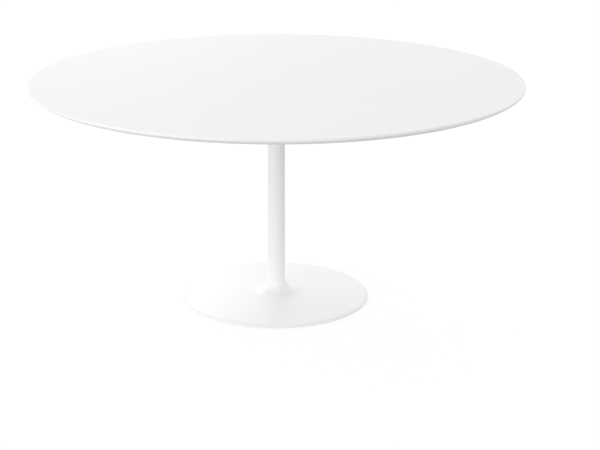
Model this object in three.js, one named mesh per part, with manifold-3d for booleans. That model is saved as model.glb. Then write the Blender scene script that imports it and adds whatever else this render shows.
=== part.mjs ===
// Round pedestal table. A lacquered MDF disc is screwed to a four-armed steel spider, which stands on
// a slightly tapered tube. One tie rod clamps the spider, the tube and the weighted disc base together,
// and the base stands on four levelling feet.
// Millimetres, +Z up. The floor is z = 0 and the table's axis is the Z axis.
import * as THREE from 'three';
import { mergeVertices } from 'three/addons/utils/BufferGeometryUtils.js';
import Module from 'manifold-3d';

const wasm = await Module();
wasm.setup();

// ---- Driving dimensions ----

// Tabletop: a flat disc whose edge curves in under a short upright lip.
const TABLE_HEIGHT = 750;
const TOP_RADIUS = 800;
const TOP_THICKNESS = 22;
const TOP_ARRIS = 2;
const TOP_LIP = 5;
const TOP_EDGE_INSET = 31;
const TOP_EDGE_LEAD = 8;
const TOP_EDGE_DROP = 7;

// Base: a spun steel cover, a quarter-round rim and a shallow cone up to a flat seat.
const BASE_RADIUS = 310;
const BASE_LIFT = 2;
const BASE_RIM_RADIUS = 8;
const BASE_SEAT_Z = 17;
const COVER_WALL = 1.5;

// Ballast: a cast iron ring plate inside the cover.
const BALLAST_RADIUS = 299;
const BALLAST_UNDERSIDE = 3.8;
const BALLAST_EDGE = 3;

// Base hub: a turned steel piece screwed into the ballast from below. Its boss centres the column.
const HUB_FLANGE_RADIUS = 60;
const HUB_FLANGE_HEIGHT = 5.5;
const HUB_NECK_RADIUS = 40;
const HUB_BOSS_TOP = 35;
const NUT_POCKET_RADIUS = 22;
const NUT_POCKET_TOP = 19.5;
const HUB_SCREW_COUNT = 4;
const HUB_SCREW_CIRCLE = 50;
const HUB_SCREW_SHANK = 2.9;
const HUB_SCREW_HEAD = 5.6;
const HUB_SCREW_TIP = 14;

// Column and the trumpet-shaped collar round its foot.
const COLUMN_TOP_RADIUS = 27.8;
const COLUMN_FOOT_RADIUS = 29.5;
const COLUMN_WALL = 2.5;
const COLLAR_RADIUS = 77;
const COLLAR_RIM = 1.2;
const COLLAR_RIM_FLAT = 1.7;
const COLLAR_FILLET = 45;
const COLLAR_WALL = 2;

// Spider: a top plate, a centring ring below it and four rectangular tubes on top of it.
const ARM_COUNT = 4;
const ARM_WIDTH = 40;
const ARM_HEIGHT = 20;
const ARM_WALL = 2;
const ARM_START = 26;
const ARM_END = 430;
const CAP_FLANGE = 2.5;
const CAP_PLUG = 12;
const PLATE_RADIUS = 95;
const PLATE_THICKNESS = 6;
const CENTRING_RING_HEIGHT = 25;
const CENTRING_RING_WALL = 4;

// Fasteners: M6 screws into brass inserts, and M12 hardware on the tie rod.
const SCREW_RADII = [170, 400];
const SCREW_SHANK = 2.9;
const SCREW_HOLE = 3.4;
const SCREW_HEAD = 5.25;
const SCREW_HEAD_FLAT = 3.2;
const SCREW_HEAD_SHOULDER = 4.7;
const SCREW_POINT = 0.8;
const SCREW_HEAD_HEIGHT = 3.3;
const SCREW_REACH = 12;
const SCREW_SOCKET = 2.3;
const SCREW_SOCKET_DEPTH = 2;
const INSERT_RADIUS = 5;
const INSERT_BORE = 3.2;
const INSERT_LENGTH = 13;
const INSERT_HOLE = 5.4;
const INSERT_HOLE_DEPTH = 14;
const ROD_RADIUS = 5.9;
const ROD_BOTTOM = 3.5;
const ROD_ABOVE_NUT = 3;
const ROD_HOLE = 6.6;
const NUT_CORNER = 10.97;
const NUT_HEIGHT = 10;
const NUT_BORE = 6.2;
const WASHER_RADIUS = 12;
const WASHER_THICKNESS = 2.5;
const LOCK_WASHER_RADIUS = 10.5;
const WASHER_BORE = 6.5;
const LOCK_WASHER_SPLIT = 1.2;

// Levelling feet, M8 x 1, drawn as far in as they go.
const FOOT_COUNT = 4;
const FOOT_CIRCLE = 278;
const PAD_RADIUS = 15;
const PAD_HEIGHT = 2.6;
const PAD_SEAT_RADIUS = 10.6;
const PAD_SEAT_Z = 1.6;
const STUD_RADIUS = 3.7;
const STUD_TOP = 8.7;
const STUD_FLANGE_CORNER = 9.8;
const STUD_FLANGE_HEIGHT = 1.5;
const STUD_HOLE = 4.1;

// Clearance left between neighbours that do not press on each other, the chamfer on turned ends, and
// how far a cutting tool runs past the face that it cuts.
const GAP = 0.3;
const CHAMFER = 0.6;
const OVERRUN = 1;

// Facets round each kind of turned piece.
const WIDE_FACETS = 96;
const COVER_FACETS = 60;
const COLUMN_FACETS = 40;
const SMALL_FACETS = 20;
const SCREW_FACETS = 12;

// ---- Worked-out heights and places ----

const TOP_UNDERSIDE = TABLE_HEIGHT - TOP_THICKNESS;
const ARM_UNDERSIDE = TOP_UNDERSIDE - ARM_HEIGHT;
const PLATE_UNDERSIDE = ARM_UNDERSIDE - PLATE_THICKNESS;
const COVER_SEAT_RADIUS = COLLAR_RADIUS + 1;
const COVER_HOLE = COLUMN_FOOT_RADIUS - COLUMN_WALL;
const BALLAST_SEAT_Z = BASE_SEAT_Z - COVER_WALL;
const HUB_FLANGE_TOP = BALLAST_UNDERSIDE + HUB_FLANGE_HEIGHT;
const HUB_BOSS_RADIUS = COVER_HOLE - GAP;
const HUB_SCREW_ANGLES = evenAngles(HUB_SCREW_COUNT).map((angle) => angle - Math.PI / HUB_SCREW_COUNT);
const FOOT_ANGLES = evenAngles(FOOT_COUNT);
const ARM_ANGLES = evenAngles(ARM_COUNT);

// Angles spread evenly round the table, the first one half a step from the X axis.
function evenAngles(count) {
  return Array.from({ length: count }, (_, i) => ((i + 0.5) * 2 * Math.PI) / count);
}

// ---- Finishes ----

const WHITE_LACQUER = { color: 0xf1f1f0, roughness: 0.55, metalness: 0 };
const WHITE_POWDER_COAT = { color: 0xefefee, roughness: 0.45, metalness: 0 };
const CAST_IRON = { color: 0x3c3d40, roughness: 0.8, metalness: 0.6 };
const ZINC_PLATE = { color: 0xb9bcc0, roughness: 0.35, metalness: 1 };
const BRASS = { color: 0xc9a14a, roughness: 0.35, metalness: 1 };
const WHITE_PLASTIC = { color: 0xe6e6e4, roughness: 0.5, metalness: 0 };
const GREY_NYLON = { color: 0x8d8f91, roughness: 0.6, metalness: 0 };

// ---- Geometry helpers ----

const at = (r, z) => new THREE.Vector2(r, z);

// Points of an arc about (r, z), angles in degrees from the outward direction, both ends included.
function arc(r, z, radius, from, to, steps) {
  const points = [];
  for (let i = 0; i <= steps; i += 1) {
    const angle = THREE.MathUtils.degToRad(from + ((to - from) * i) / steps);
    points.push(at(r + radius * Math.cos(angle), z + radius * Math.sin(angle)));
  }
  return points;
}

// A solid of revolution about Z. The outline runs up its outer side, and is closed here if it is a ring.
function turned(outline, facets) {
  const first = outline[0];
  const last = outline[outline.length - 1];
  const isRing = first.x > 0 || last.x > 0;
  const profile = isRing ? [...outline, first.clone()] : outline;
  return new THREE.LatheGeometry(profile, facets).rotateX(Math.PI / 2);
}

// A plain ring with a square section.
function ring(inner, outer, bottom, top, facets) {
  return turned([at(inner, bottom), at(outer, bottom), at(outer, top), at(inner, top)], facets);
}

// An upright prism or cylinder that stands at (x, y) from bottom to top.
function upright(radius, bottom, top, facets, x = 0, y = 0) {
  const prism = new THREE.CylinderGeometry(radius, radius, top - bottom, facets);
  return prism.rotateX(Math.PI / 2).translate(x, y, (bottom + top) / 2);
}

// A box given by its lowest and highest corners.
function block(low, high) {
  const size = high.map((value, i) => value - low[i]);
  const middle = high.map((value, i) => (value + low[i]) / 2);
  return new THREE.BoxGeometry(...size).translate(...middle);
}

function toSolid(geometry) {
  const bare = geometry.clone();
  bare.deleteAttribute('normal');
  bare.deleteAttribute('uv');
  const merged = mergeVertices(bare);
  const corners = merged.index.array;
  const kept = [];
  for (let i = 0; i < corners.length; i += 3) {
    const [a, b, c] = corners.slice(i, i + 3);
    if (a !== b && b !== c && c !== a) kept.push(a, b, c);
  }
  const vertProperties = Float32Array.from(merged.attributes.position.array);
  const triVerts = Uint32Array.from(kept);
  return new wasm.Manifold(new wasm.Mesh({ numProp: 3, vertProperties, triVerts }));
}

function toGeometry(solid) {
  const mesh = solid.getMesh();
  const geometry = new THREE.BufferGeometry();
  geometry.setAttribute('position', new THREE.BufferAttribute(mesh.vertProperties, 3));
  geometry.setIndex(new THREE.BufferAttribute(mesh.triVerts, 1));
  geometry.computeVertexNormals();
  return geometry;
}

function cut(geometry, tools) {
  return toGeometry(tools.reduce((solid, tool) => solid.subtract(toSolid(tool)), toSolid(geometry)));
}

function join(geometry, others) {
  return toGeometry(others.reduce((solid, other) => solid.add(toSolid(other)), toSolid(geometry)));
}

const onCircle = (radius, angle) => [radius * Math.cos(angle), radius * Math.sin(angle)];

// ---- The assembly ----

const table = new THREE.Group();

function addPiece(name, geometry, finish, parent = table) {
  const mesh = new THREE.Mesh(geometry, new THREE.MeshStandardMaterial(finish));
  mesh.name = name;
  parent.add(mesh);
}

// ---- Tabletop and its inserts ----

function makeTabletop() {
  const lipBottom = TABLE_HEIGHT - TOP_LIP;
  const flat = TOP_RADIUS - TOP_EDGE_INSET;
  const undercut = new THREE.CubicBezierCurve(
    at(flat, TOP_UNDERSIDE),
    at(flat + TOP_EDGE_LEAD, TOP_UNDERSIDE),
    at(TOP_RADIUS, lipBottom - TOP_EDGE_DROP),
    at(TOP_RADIUS, lipBottom),
  );
  const arris = arc(TOP_RADIUS - TOP_ARRIS, TABLE_HEIGHT - TOP_ARRIS, TOP_ARRIS, 0, 90, 2);
  const outline = [at(0, TOP_UNDERSIDE), ...undercut.getPoints(6), ...arris, at(0, TABLE_HEIGHT)];
  const holes = [];
  for (const angle of ARM_ANGLES) {
    for (const radius of SCREW_RADII) {
      const [x, y] = onCircle(radius, angle);
      const roof = TOP_UNDERSIDE + INSERT_HOLE_DEPTH;
      holes.push(upright(INSERT_HOLE, TOP_UNDERSIDE - OVERRUN, roof, SCREW_FACETS, x, y));
    }
  }
  return cut(turned(outline, WIDE_FACETS), holes);
}

function makeInsert() {
  return ring(INSERT_BORE, INSERT_RADIUS, TOP_UNDERSIDE, TOP_UNDERSIDE + INSERT_LENGTH, SCREW_FACETS);
}

// ---- Spider ----

// An arm lies along +X, with a clearance hole through both walls for each screw.
function makeArm() {
  const half = ARM_WIDTH / 2;
  const outside = block([ARM_START, -half, ARM_UNDERSIDE], [ARM_END, half, TOP_UNDERSIDE]);
  const inside = block(
    [ARM_START - OVERRUN, ARM_WALL - half, ARM_UNDERSIDE + ARM_WALL],
    [ARM_END + OVERRUN, half - ARM_WALL, TOP_UNDERSIDE - ARM_WALL],
  );
  const holes = SCREW_RADII.map((x) => (
    upright(SCREW_HOLE, ARM_UNDERSIDE - OVERRUN, TOP_UNDERSIDE + OVERRUN, SCREW_FACETS, x)
  ));
  return cut(outside, [inside, ...holes]);
}

// A cap covers the arm's end and grips it with a plug inside.
function makeArmCap() {
  const half = ARM_WIDTH / 2;
  const plugHalf = half - ARM_WALL - GAP;
  const flangeStart = ARM_END + GAP;
  const flange = block(
    [flangeStart, -half, ARM_UNDERSIDE],
    [flangeStart + CAP_FLANGE, half, TOP_UNDERSIDE - GAP],
  );
  const plug = block(
    [ARM_END - CAP_PLUG, -plugHalf, ARM_UNDERSIDE + ARM_WALL + GAP],
    [flangeStart + CAP_FLANGE / 2, plugHalf, TOP_UNDERSIDE - ARM_WALL - GAP],
  );
  return join(flange, [plug]);
}

function makeTopPlate() {
  return ring(ROD_HOLE, PLATE_RADIUS, PLATE_UNDERSIDE, ARM_UNDERSIDE, COLUMN_FACETS);
}

function makeCentringRing() {
  const outer = COLUMN_TOP_RADIUS - COLUMN_WALL - GAP;
  const bottom = PLATE_UNDERSIDE - CENTRING_RING_HEIGHT;
  return ring(outer - CENTRING_RING_WALL, outer, bottom, PLATE_UNDERSIDE, COLUMN_FACETS);
}

// A button-head screw on the Z axis, head down, its hexagon socket open below.
function makeScrew() {
  const headBottom = ARM_UNDERSIDE - SCREW_HEAD_HEIGHT;
  const tip = TOP_UNDERSIDE + SCREW_REACH;
  const outline = [
    at(0, headBottom),
    at(SCREW_HEAD_FLAT, headBottom),
    at(SCREW_HEAD_SHOULDER, headBottom + SCREW_HEAD_HEIGHT / 2),
    at(SCREW_HEAD, ARM_UNDERSIDE),
    at(SCREW_SHANK, ARM_UNDERSIDE),
    at(SCREW_SHANK, tip - SCREW_POINT),
    at(SCREW_SHANK - SCREW_POINT, tip),
    at(0, tip),
  ];
  const socket = upright(SCREW_SOCKET, headBottom - OVERRUN, headBottom + SCREW_SOCKET_DEPTH, 6);
  return cut(turned(outline, SCREW_FACETS), [socket]);
}

// ---- Column ----

function makeColumnTube() {
  return turned([
    at(COLUMN_FOOT_RADIUS - COLUMN_WALL, BASE_SEAT_Z),
    at(COLUMN_FOOT_RADIUS, BASE_SEAT_Z),
    at(COLUMN_TOP_RADIUS, PLATE_UNDERSIDE),
    at(COLUMN_TOP_RADIUS - COLUMN_WALL, PLATE_UNDERSIDE),
  ], COLUMN_FACETS);
}

// The collar's outside is one fillet from a thin upright rim to the column, and its wall is even
// except where it feathers out against the column.
function makeCollar() {
  const centreR = COLLAR_RADIUS - COLLAR_RIM_FLAT;
  const centreZ = BASE_SEAT_Z + COLLAR_RIM + COLLAR_FILLET;
  const innerFillet = COLLAR_FILLET + COLLAR_WALL;
  const neck = COLUMN_FOOT_RADIUS + GAP;
  const footAngle = 180 + THREE.MathUtils.radToDeg(Math.asin((centreZ - BASE_SEAT_Z) / innerFillet));
  const neckAngle = 180 + THREE.MathUtils.radToDeg(Math.acos((centreR - neck) / innerFillet));
  const outside = arc(centreR, centreZ, COLLAR_FILLET, 270, 180, 8);
  const inside = arc(centreR, centreZ, innerFillet, neckAngle, footAngle, 6);
  return turned([
    at(COLLAR_RADIUS, BASE_SEAT_Z),
    at(COLLAR_RADIUS, BASE_SEAT_Z + COLLAR_RIM),
    ...outside,
    at(neck, centreZ),
    ...inside,
  ], COLUMN_FACETS);
}

// ---- Tie rod and its hardware ----

const ROD_NUT_Z = ARM_UNDERSIDE + WASHER_THICKNESS;
const BASE_WASHER_Z = NUT_POCKET_TOP - WASHER_THICKNESS;
const LOCK_WASHER_Z = BASE_WASHER_Z - WASHER_THICKNESS;
const BASE_NUT_Z = LOCK_WASHER_Z - NUT_HEIGHT;

function makeTieRod() {
  const top = ROD_NUT_Z + NUT_HEIGHT + ROD_ABOVE_NUT;
  return turned([
    at(0, ROD_BOTTOM),
    at(ROD_RADIUS - CHAMFER, ROD_BOTTOM),
    at(ROD_RADIUS, ROD_BOTTOM + CHAMFER),
    at(ROD_RADIUS, top - CHAMFER),
    at(ROD_RADIUS - CHAMFER, top),
    at(0, top),
  ], SMALL_FACETS);
}

function makeNut(bottom) {
  const top = bottom + NUT_HEIGHT;
  const hexagon = upright(NUT_CORNER, bottom, top, 6);
  return cut(hexagon, [upright(NUT_BORE, bottom - OVERRUN, top + OVERRUN, SMALL_FACETS)]);
}

function makeWasher(radius, bottom) {
  return ring(WASHER_BORE, radius, bottom, bottom + WASHER_THICKNESS, SMALL_FACETS);
}

// A spring washer, cut through on one side.
function makeLockWasher() {
  const whole = makeWasher(LOCK_WASHER_RADIUS, LOCK_WASHER_Z);
  const split = block(
    [0, -LOCK_WASHER_SPLIT / 2, LOCK_WASHER_Z - OVERRUN],
    [LOCK_WASHER_RADIUS + OVERRUN, LOCK_WASHER_SPLIT / 2, BASE_WASHER_Z + OVERRUN],
  );
  return cut(whole, [split]);
}

// ---- Base ----

// The cover: outside from the lip, up the quarter-round and the shallow cone to the seat, and back
// inside at an even wall.
function makeBaseCover() {
  const rimR = BASE_RADIUS - BASE_RIM_RADIUS;
  const outerRim = arc(rimR, BASE_LIFT, BASE_RIM_RADIUS, 0, 90, 5);
  const innerRim = arc(rimR, BASE_LIFT, BASE_RIM_RADIUS - COVER_WALL, 90, 0, 5);
  return turned([
    ...outerRim,
    at(COVER_SEAT_RADIUS, BASE_SEAT_Z),
    at(COVER_HOLE, BASE_SEAT_Z),
    at(COVER_HOLE, BALLAST_SEAT_Z),
    at(COVER_SEAT_RADIUS, BALLAST_SEAT_Z),
    ...innerRim,
  ], COVER_FACETS);
}

function makeBallastPlate() {
  const rimR = BASE_RADIUS - BASE_RIM_RADIUS;
  const rimZ = BASE_LIFT + BASE_RIM_RADIUS - COVER_WALL - GAP;
  const slope = (BALLAST_SEAT_Z - GAP - rimZ) / (rimR - COVER_SEAT_RADIUS);
  const shoulder = BALLAST_RADIUS - BALLAST_EDGE;
  const outline = [
    at(HUB_NECK_RADIUS + GAP, HUB_FLANGE_TOP),
    at(HUB_FLANGE_RADIUS + GAP, HUB_FLANGE_TOP),
    at(HUB_FLANGE_RADIUS + GAP, BALLAST_UNDERSIDE),
    at(BALLAST_RADIUS, BALLAST_UNDERSIDE),
    at(BALLAST_RADIUS, rimZ - BALLAST_EDGE / 2),
    at(shoulder, rimZ + (rimR - shoulder) * slope),
    at(COVER_SEAT_RADIUS, BALLAST_SEAT_Z - GAP),
    at(COVER_SEAT_RADIUS - BALLAST_EDGE, BALLAST_SEAT_Z),
    at(HUB_NECK_RADIUS + GAP, BALLAST_SEAT_Z),
  ];
  const footHoles = FOOT_ANGLES.map((angle) => {
    const [x, y] = onCircle(FOOT_CIRCLE, angle);
    return upright(STUD_HOLE, BALLAST_UNDERSIDE - OVERRUN, BASE_SEAT_Z, SMALL_FACETS, x, y);
  });
  const screwHoles = HUB_SCREW_ANGLES.map((angle) => {
    const [x, y] = onCircle(HUB_SCREW_CIRCLE, angle);
    return upright(HUB_SCREW_SHANK + GAP, BALLAST_UNDERSIDE, HUB_SCREW_TIP + GAP, SCREW_FACETS, x, y);
  });
  return cut(turned(outline, COVER_FACETS), [...footHoles, ...screwHoles]);
}

// The hub's flange sits in the ballast's underside, its neck carries the cover under the column, and
// the pocket below the boss takes the tie rod's nut and washers.
function makeBaseHub() {
  const outline = [
    at(ROD_HOLE, NUT_POCKET_TOP),
    at(NUT_POCKET_RADIUS, NUT_POCKET_TOP),
    at(NUT_POCKET_RADIUS, BALLAST_UNDERSIDE),
    at(HUB_FLANGE_RADIUS, BALLAST_UNDERSIDE),
    at(HUB_FLANGE_RADIUS, HUB_FLANGE_TOP),
    at(HUB_NECK_RADIUS, HUB_FLANGE_TOP),
    at(HUB_NECK_RADIUS, BALLAST_SEAT_Z),
    at(HUB_BOSS_RADIUS, BALLAST_SEAT_Z),
    at(HUB_BOSS_RADIUS, HUB_BOSS_TOP - CHAMFER),
    at(HUB_BOSS_RADIUS - CHAMFER, HUB_BOSS_TOP),
    at(ROD_HOLE, HUB_BOSS_TOP),
  ];
  const sink = HUB_SCREW_HEAD - HUB_SCREW_SHANK;
  const holes = HUB_SCREW_ANGLES.map((angle) => {
    const [x, y] = onCircle(HUB_SCREW_CIRCLE, angle);
    return turned([
      at(0, BALLAST_UNDERSIDE - OVERRUN),
      at(HUB_SCREW_HEAD + GAP, BALLAST_UNDERSIDE - OVERRUN),
      at(HUB_SCREW_HEAD + GAP, BALLAST_UNDERSIDE + GAP),
      at(HUB_SCREW_SHANK + GAP, BALLAST_UNDERSIDE + GAP + sink),
      at(HUB_SCREW_SHANK + GAP, HUB_FLANGE_TOP + OVERRUN),
      at(0, HUB_FLANGE_TOP + OVERRUN),
    ], SCREW_FACETS).translate(x, y, 0);
  });
  return cut(turned(outline, COLUMN_FACETS), holes);
}

// A countersunk screw on the Z axis, head down, its hexagon socket open below.
function makeHubScrew() {
  const sink = HUB_SCREW_HEAD - HUB_SCREW_SHANK;
  const outline = [
    at(0, BALLAST_UNDERSIDE),
    at(HUB_SCREW_HEAD, BALLAST_UNDERSIDE),
    at(HUB_SCREW_SHANK, BALLAST_UNDERSIDE + sink),
    at(HUB_SCREW_SHANK, HUB_SCREW_TIP - CHAMFER),
    at(HUB_SCREW_SHANK - CHAMFER, HUB_SCREW_TIP),
    at(0, HUB_SCREW_TIP),
  ];
  const bottom = BALLAST_UNDERSIDE - OVERRUN;
  const socket = upright(SCREW_SOCKET, bottom, BALLAST_UNDERSIDE + SCREW_SOCKET_DEPTH, 6);
  return cut(turned(outline, SCREW_FACETS), [socket]);
}

// ---- Levelling feet ----

// A shallow cup that stands on the floor.
function makeFootPad() {
  return turned([
    at(0, 0),
    at(PAD_RADIUS - CHAMFER, 0),
    at(PAD_RADIUS, CHAMFER),
    at(PAD_RADIUS, PAD_HEIGHT - CHAMFER),
    at(PAD_RADIUS - CHAMFER, PAD_HEIGHT),
    at(PAD_SEAT_RADIUS, PAD_HEIGHT),
    at(PAD_SEAT_RADIUS, PAD_SEAT_Z),
    at(0, PAD_SEAT_Z),
  ], SMALL_FACETS);
}

// A threaded stud whose hexagon flange turns in the cup.
function makeFootStud() {
  const flangeBottom = PAD_SEAT_Z + GAP;
  const flangeTop = flangeBottom + STUD_FLANGE_HEIGHT;
  const shank = turned([
    at(0, flangeBottom + CHAMFER),
    at(STUD_RADIUS, flangeBottom + CHAMFER),
    at(STUD_RADIUS, STUD_TOP - CHAMFER),
    at(STUD_RADIUS - CHAMFER, STUD_TOP),
    at(0, STUD_TOP),
  ], SCREW_FACETS);
  return join(upright(STUD_FLANGE_CORNER, flangeBottom, flangeTop, 6), [shank]);
}

// ---- Put together ----

addPiece('tabletop', makeTabletop(), WHITE_LACQUER);
addPiece('top_plate', makeTopPlate(), WHITE_POWDER_COAT);
addPiece('centring_ring', makeCentringRing(), WHITE_POWDER_COAT);
addPiece('column_tube', makeColumnTube(), WHITE_POWDER_COAT);
addPiece('foot_collar', makeCollar(), WHITE_POWDER_COAT);
addPiece('base_cover', makeBaseCover(), WHITE_POWDER_COAT);
addPiece('ballast_plate', makeBallastPlate(), CAST_IRON);
addPiece('base_hub', makeBaseHub(), ZINC_PLATE);
addPiece('tie_rod', makeTieRod(), ZINC_PLATE);
addPiece('top_washer', makeWasher(WASHER_RADIUS, ARM_UNDERSIDE), ZINC_PLATE);
addPiece('top_nut', makeNut(ROD_NUT_Z), ZINC_PLATE);
addPiece('base_washer', makeWasher(WASHER_RADIUS, BASE_WASHER_Z), ZINC_PLATE);
addPiece('lock_washer', makeLockWasher(), ZINC_PLATE);
addPiece('base_nut', makeNut(BASE_NUT_Z), ZINC_PLATE);

HUB_SCREW_ANGLES.forEach((angle, i) => {
  const spot = new THREE.Group();
  const [x, y] = onCircle(HUB_SCREW_CIRCLE, angle);
  spot.position.set(x, y, 0);
  table.add(spot);
  addPiece(`hub_screw_${i + 1}`, makeHubScrew(), ZINC_PLATE, spot);
});

ARM_ANGLES.forEach((angle, i) => {
  const armGroup = new THREE.Group();
  armGroup.rotation.z = angle;
  table.add(armGroup);
  addPiece(`arm_${i + 1}`, makeArm(), WHITE_POWDER_COAT, armGroup);
  addPiece(`arm_cap_${i + 1}`, makeArmCap(), WHITE_PLASTIC, armGroup);
  SCREW_RADII.forEach((radius, j) => {
    const number = i * SCREW_RADII.length + j + 1;
    const spot = new THREE.Group();
    spot.position.x = radius;
    armGroup.add(spot);
    addPiece(`screw_${number}`, makeScrew(), ZINC_PLATE, spot);
    addPiece(`insert_${number}`, makeInsert(), BRASS, spot);
  });
});

FOOT_ANGLES.forEach((angle, i) => {
  const spot = new THREE.Group();
  const [x, y] = onCircle(FOOT_CIRCLE, angle);
  spot.position.set(x, y, 0);
  table.add(spot);
  addPiece(`foot_pad_${i + 1}`, makeFootPad(), GREY_NYLON, spot);
  addPiece(`foot_stud_${i + 1}`, makeFootStud(), ZINC_PLATE, spot);
});

export default table;
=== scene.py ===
"""Studio scene of a round pedestal table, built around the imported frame.

A lacquered fibreboard disc stands on a powder-coated steel column with a trumpet-shaped collar and
a shallow disc base. The frame gives every place and outer size; this script models the fine
surfaces of each piece, dresses them, and sets up the floor, the lights and the camera. Lengths are
in metres.
"""
import logging
import math
from dataclasses import dataclass, field
from enum import Enum
from functools import lru_cache
from typing import Any, Callable, Iterable, Sequence

import bpy
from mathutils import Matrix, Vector


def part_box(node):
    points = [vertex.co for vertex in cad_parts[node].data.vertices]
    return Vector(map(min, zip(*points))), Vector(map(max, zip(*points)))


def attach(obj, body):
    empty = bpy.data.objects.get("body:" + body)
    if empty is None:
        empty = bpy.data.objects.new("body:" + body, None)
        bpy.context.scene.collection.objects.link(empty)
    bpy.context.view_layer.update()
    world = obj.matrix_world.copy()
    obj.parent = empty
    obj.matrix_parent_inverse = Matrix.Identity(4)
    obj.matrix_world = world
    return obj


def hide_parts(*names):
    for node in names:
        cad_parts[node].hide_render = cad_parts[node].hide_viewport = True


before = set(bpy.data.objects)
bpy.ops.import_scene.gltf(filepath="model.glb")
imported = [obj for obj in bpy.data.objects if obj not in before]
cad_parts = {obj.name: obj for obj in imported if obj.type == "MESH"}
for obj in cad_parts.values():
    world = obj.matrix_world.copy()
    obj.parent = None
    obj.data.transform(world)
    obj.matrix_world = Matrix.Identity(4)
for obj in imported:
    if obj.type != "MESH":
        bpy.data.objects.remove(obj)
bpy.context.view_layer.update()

log = logging.getLogger("table")

MM = 0.001
FULL_TURN = 2 * math.pi
MERGE_DISTANCE = 0.002 * MM
SMOOTH_ANGLE = math.radians(32)
QUARTERS = 4
TOP_SCREWS = range(1, 9)
HEXAGON = 6
DRILL_FACETS = 24
THREAD_FACETS = 40
BARREL_FACETS = 64
# straight stretch kept beside a fillet, so that the flat face next to it is shaded flat
HOLD = 0.15 * MM
# how nearly a face's normal has to point along an axis to count as facing that way
FACING = 0.9
# depth of a thread, and where its root and its crest lie, as shares of its pitch
THREAD_DEPTH = 0.54
THREAD_ROOT = 0.5
THREAD_CREST = 0.9
BODY = "table"

Point = tuple[float, float]
PairTest = Callable[[Vector, Vector], bool]


class Slot(Enum):
    """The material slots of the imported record."""

    TOP = "top_lacquer"
    WHITE = "white_coat"
    FRAME = "frame_coat"
    IRON = "ballast_iron"
    ZINC = "zinc"
    BRASS = "insert_brass"
    CAP = "cap_plastic"
    PAD = "foot_nylon"


# ---- Materials ----------------------------------------------------------------------------------


def linear(hex_colour: str) -> tuple[float, float, float, float]:
    """Turns an sRGB hex colour into linear light.

    Args:
        hex_colour: The colour as "#RRGGBB".

    Returns:
        Red, green, blue and an alpha of one.
    """
    channels = [int(hex_colour[i:i + 2], 16) / 255 for i in (1, 3, 5)]
    light = [c / 12.92 if c <= 0.04045 else ((c + 0.055) / 1.055) ** 2.4 for c in channels]
    return (*light, 1.0)


def add_node(tree: bpy.types.NodeTree, kind: str, inputs: dict[str, Any] | None = None,
             **settings: Any) -> bpy.types.Node:
    """Adds a node, sets it up and feeds its sockets.

    Args:
        tree: The node tree to add to.
        kind: The node's type, such as "ShaderNodeBump".
        inputs: Socket name or number to a value, or to an output socket that feeds it.
        **settings: Properties of the node itself.

    Returns:
        The new node.
    """
    node = tree.nodes.new(kind)
    for name, value in settings.items():
        setattr(node, name, value)
    for name, value in (inputs or {}).items():
        if isinstance(value, bpy.types.NodeSocket):
            tree.links.new(value, node.inputs[name])
        else:
            node.inputs[name].default_value = value
    return node


@dataclass(frozen=True)
class Finish:
    """A surface: two close tones, a band of roughness, and a fine relief.

    Attributes:
        name: The material's name.
        light: Lighter tone, sRGB hex.
        dark: Darker tone, sRGB hex.
        roughness: Lowest and highest roughness.
        drift_mm: Size of the slow drift between the tones and between the roughnesses.
        relief_mm: Pitch of the relief.
        depth_mm: Height of the relief.
        metallic: One for a bare metal.
        ior: Index of refraction of a non-metal.
        sockets: Further shader sockets with their values.
    """

    name: str
    light: str
    dark: str
    roughness: tuple[float, float]
    drift_mm: float
    relief_mm: float
    depth_mm: float
    metallic: float = 0.0
    ior: float = 1.5
    sockets: tuple[tuple[str, float], ...] = ()

    def relief(self, tree: bpy.types.NodeTree, place: bpy.types.NodeSocket) -> bpy.types.NodeSocket:
        """Draws the relief as soft bumps. Returns the socket with its height."""
        noise = add_node(tree, "ShaderNodeTexNoise",
                         {"Vector": place, "Scale": 1 / (self.relief_mm * MM), "Detail": 2.0,
                          "Roughness": 0.45})
        return noise.outputs["Fac"]

    def material(self) -> bpy.types.Material:
        """Builds the material's nodes. Returns the material."""
        material = bpy.data.materials.new(self.name)
        material.use_nodes = True
        tree = material.node_tree
        tree.nodes.clear()
        place = add_node(tree, "ShaderNodeTexCoord").outputs["Object"]
        drift = add_node(tree, "ShaderNodeTexNoise",
                         {"Vector": place, "Scale": 1 / (self.drift_mm * MM), "Detail": 3.0})
        tone = add_node(tree, "ShaderNodeMix",
                        {"Factor": drift.outputs["Fac"], "A": linear(self.dark),
                         "B": linear(self.light)}, data_type="RGBA")
        gloss = add_node(tree, "ShaderNodeMapRange",
                         {"Value": drift.outputs["Fac"], "To Min": self.roughness[0],
                          "To Max": self.roughness[1]})
        bump = add_node(tree, "ShaderNodeBump",
                        {"Height": self.relief(tree, place), "Strength": 1.0,
                         "Distance": self.depth_mm * MM})
        sockets = {"Base Color": tone.outputs["Result"], "Roughness": gloss.outputs["Result"],
                   "Metallic": self.metallic, "Normal": bump.outputs["Normal"]}
        if self.metallic == 0:
            sockets["IOR"] = self.ior
        shader = add_node(tree, "ShaderNodeBsdfPrincipled", {**sockets, **dict(self.sockets)})
        add_node(tree, "ShaderNodeOutputMaterial", {"Surface": shader.outputs["BSDF"]})
        return material


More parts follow.
